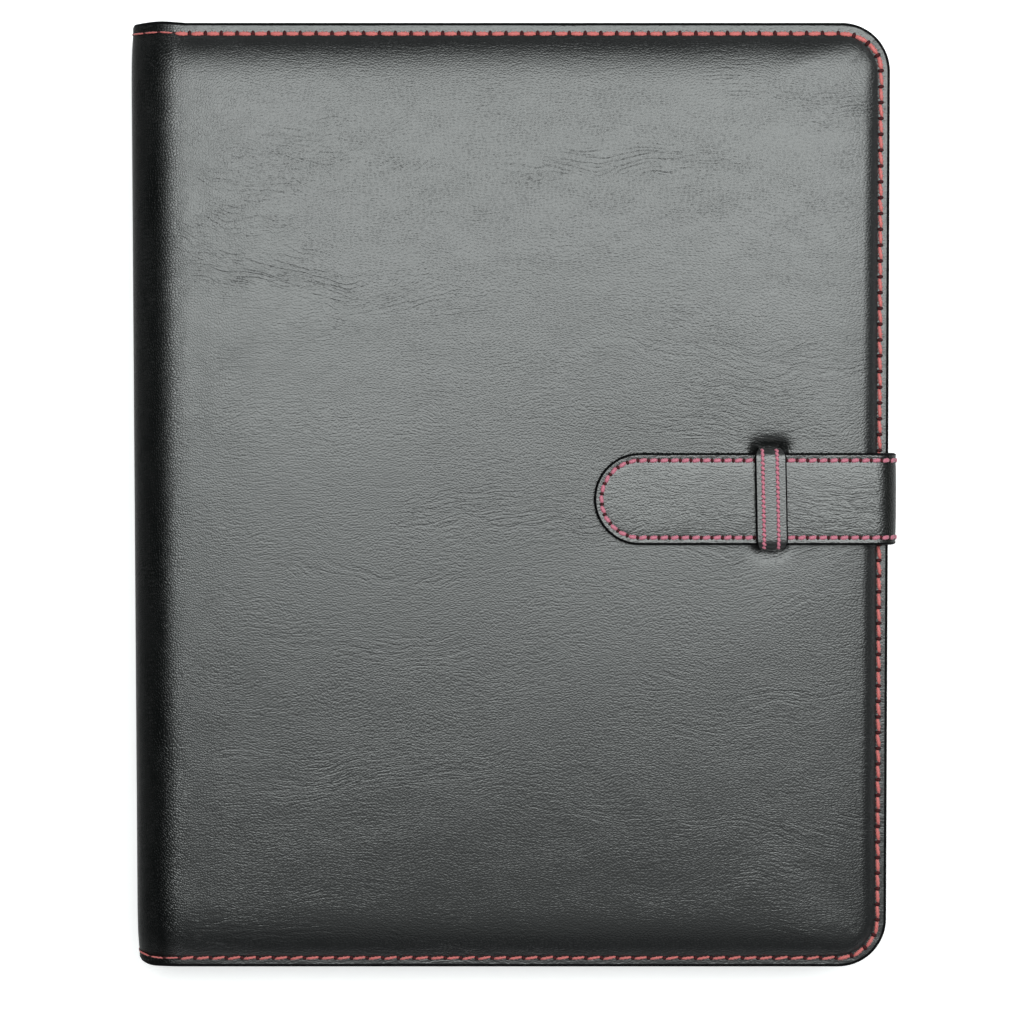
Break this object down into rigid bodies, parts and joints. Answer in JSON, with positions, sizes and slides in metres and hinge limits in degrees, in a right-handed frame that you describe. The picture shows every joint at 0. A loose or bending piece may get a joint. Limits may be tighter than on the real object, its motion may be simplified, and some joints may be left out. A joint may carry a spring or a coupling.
{
  "type": "display book",
  "caption": "Closed A4 display book with padded black leather covers, red seams, clear pockets with black paper and a strap that slides under a keeper.",
  "frame": {"origin": "under the middle of the closed book, on the plane that it lies on", "axes": "+X from the spine to the fore-edge, +Y from the tail to the head, +Z out of the front cover"},
  "size_m": [0.2538, 0.315, 0.0335],
  "materials": {
    "cover_leather": "satin",
    "foam": "matte",
    "greyboard": "matte",
    "lining_cloth": "matte",
    "red_thread": "satin",
    "clear_film": "gloss",
    "black_paper": "matte",
    "binding_plastic": "satin"
  },
  "bodies": {
    "back_cover": {"back_outer_skin": "cover_leather", "back_foam_pad": "foam", "back_board": "greyboard", "back_lining": "lining_cloth", "back_seam_thread": "red_thread", "strap_anchor_face": "cover_leather", "strap_anchor_lining": "cover_leather", "strap_anchor_thread": "red_thread"},
    "spine": {"spine_outer_skin": "cover_leather", "spine_board": "greyboard", "spine_lining": "lining_cloth", "binding_strip": "binding_plastic", "spine_head_thread": "red_thread", "spine_tail_thread": "red_thread"},
    "front_cover": {"front_outer_skin": "cover_leather", "front_foam_pad": "foam", "front_board": "greyboard", "front_lining": "lining_cloth", "front_seam_thread": "red_thread", "keeper_loop": "cover_leather", "keeper_thread": "red_thread"},
    "strap_side": {"strap_lower_bend": "cover_leather", "strap_side_face": "cover_leather", "strap_side_lining": "cover_leather", "strap_side_head_thread": "red_thread", "strap_side_tail_thread": "red_thread"},
    "strap_tongue": {"strap_upper_bend": "cover_leather", "strap_tongue_face": "cover_leather", "strap_tongue_lining": "cover_leather", "strap_tongue_thread": "red_thread"},
    "leaf_01": {"pocket_01_back_film": "clear_film", "insert_sheet_01": "black_paper", "pocket_01_front_film": "clear_film"},
    "leaf_02": {"pocket_02_back_film": "clear_film", "insert_sheet_02": "black_paper", "pocket_02_front_film": "clear_film"},
    "leaf_03": {"pocket_03_back_film": "clear_film", "insert_sheet_03": "black_paper", "pocket_03_front_film": "clear_film"},
    "leaf_04": {"pocket_04_back_film": "clear_film", "insert_sheet_04": "black_paper", "pocket_04_front_film": "clear_film"},
    "leaf_05": {"pocket_05_back_film": "clear_film", "insert_sheet_05": "black_paper", "pocket_05_front_film": "clear_film"},
    "leaf_06": {"pocket_06_back_film": "clear_film", "insert_sheet_06": "black_paper", "pocket_06_front_film": "clear_film"},
    "leaf_07": {"pocket_07_back_film": "clear_film", "insert_sheet_07": "black_paper", "pocket_07_front_film": "clear_film"},
    "leaf_08": {"pocket_08_back_film": "clear_film", "insert_sheet_08": "black_paper", "pocket_08_front_film": "clear_film"},
    "leaf_09": {"pocket_09_back_film": "clear_film", "insert_sheet_09": "black_paper", "pocket_09_front_film": "clear_film"},
    "leaf_10": {"pocket_10_back_film": "clear_film", "insert_sheet_10": "black_paper", "pocket_10_front_film": "clear_film"}
  },
  "joints": [
    {"name": "spine_hinge", "type": "hinge", "parent": "back_cover", "child": "spine", "pos_m": [-0.12513, 0, 0.00182], "axis": [0, -1, 0], "range_deg": [0, 90]},
    {"name": "cover_hinge", "type": "hinge", "parent": "spine", "child": "front_cover", "pos_m": [-0.12513, 0, 0.02688], "axis": [0, -1, 0], "range_deg": [0, 88.6]},
    {"name": "leaf_01_hinge", "type": "hinge", "parent": "spine", "child": "leaf_01", "pos_m": [-0.11765, 0, 0.0202], "axis": [0, -1, 0], "range_deg": [0, 86]},
    {"name": "leaf_02_hinge", "type": "hinge", "parent": "spine", "child": "leaf_02", "pos_m": [-0.11765, 0, 0.0188], "axis": [0, -1, 0], "range_deg": [0, 79]},
    {"name": "leaf_03_hinge", "type": "hinge", "parent": "spine", "child": "leaf_03", "pos_m": [-0.11765, 0, 0.0174], "axis": [0, -1, 0], "range_deg": [0, 72]},
    {"name": "leaf_04_hinge", "type": "hinge", "parent": "spine", "child": "leaf_04", "pos_m": [-0.11765, 0, 0.016], "axis": [0, -1, 0], "range_deg": [0, 65]},
    {"name": "leaf_05_hinge", "type": "hinge", "parent": "spine", "child": "leaf_05", "pos_m": [-0.11765, 0, 0.0146], "axis": [0, -1, 0], "range_deg": [0, 58]},
    {"name": "leaf_06_hinge", "type": "hinge", "parent": "spine", "child": "leaf_06", "pos_m": [-0.11765, 0, 0.0132], "axis": [0, -1, 0], "range_deg": [-58, 0]},
    {"name": "leaf_07_hinge", "type": "hinge", "parent": "spine", "child": "leaf_07", "pos_m": [-0.11765, 0, 0.0118], "axis": [0, -1, 0], "range_deg": [-65, 0]},
    {"name": "leaf_08_hinge", "type": "hinge", "parent": "spine", "child": "leaf_08", "pos_m": [-0.11765, 0, 0.0104], "axis": [0, -1, 0], "range_deg": [-72, 0]},
    {"name": "leaf_09_hinge", "type": "hinge", "parent": "spine", "child": "leaf_09", "pos_m": [-0.11765, 0, 0.009], "axis": [0, -1, 0], "range_deg": [-79, 0]},
    {"name": "leaf_10_hinge", "type": "hinge", "parent": "spine", "child": "leaf_10", "pos_m": [-0.11765, 0, 0.0076], "axis": [0, -1, 0], "range_deg": [-86, 0]},
    {"name": "strap_side_fold", "type": "hinge", "parent": "back_cover", "child": "strap_side", "pos_m": [0.12483, -0.0012, 0.00232], "axis": [0, 1, 0], "range_deg": [0, 90], "deforming": ["strap_lower_bend"]},
    {"name": "strap_tongue_fold", "type": "hinge", "parent": "strap_side", "child": "strap_tongue", "pos_m": [0.12483, -0.0012, 0.02918], "axis": [0, 1, 0], "range_deg": [0, 90], "deforming": ["strap_upper_bend", "strap_tongue_face", "strap_tongue_lining", "strap_tongue_thread"]}
  ],
  "couplings": [
    {"joint": "cover_hinge", "follows": "spine_hinge", "ratio": 0.98444},
    {"joint": "leaf_01_hinge", "follows": "spine_hinge", "ratio": 0.95556},
    {"joint": "leaf_02_hinge", "follows": "spine_hinge", "ratio": 0.87778},
    {"joint": "leaf_03_hinge", "follows": "spine_hinge", "ratio": 0.8},
    {"joint": "leaf_04_hinge", "follows": "spine_hinge", "ratio": 0.72222},
    {"joint": "leaf_05_hinge", "follows": "spine_hinge", "ratio": 0.64444},
    {"joint": "leaf_06_hinge", "follows": "spine_hinge", "ratio": -0.64444},
    {"joint": "leaf_07_hinge", "follows": "spine_hinge", "ratio": -0.72222},
    {"joint": "leaf_08_hinge", "follows": "spine_hinge", "ratio": -0.8},
    {"joint": "leaf_09_hinge", "follows": "spine_hinge", "ratio": -0.87778},
    {"joint": "leaf_10_hinge", "follows": "spine_hinge", "ratio": -0.95556}
  ]
}
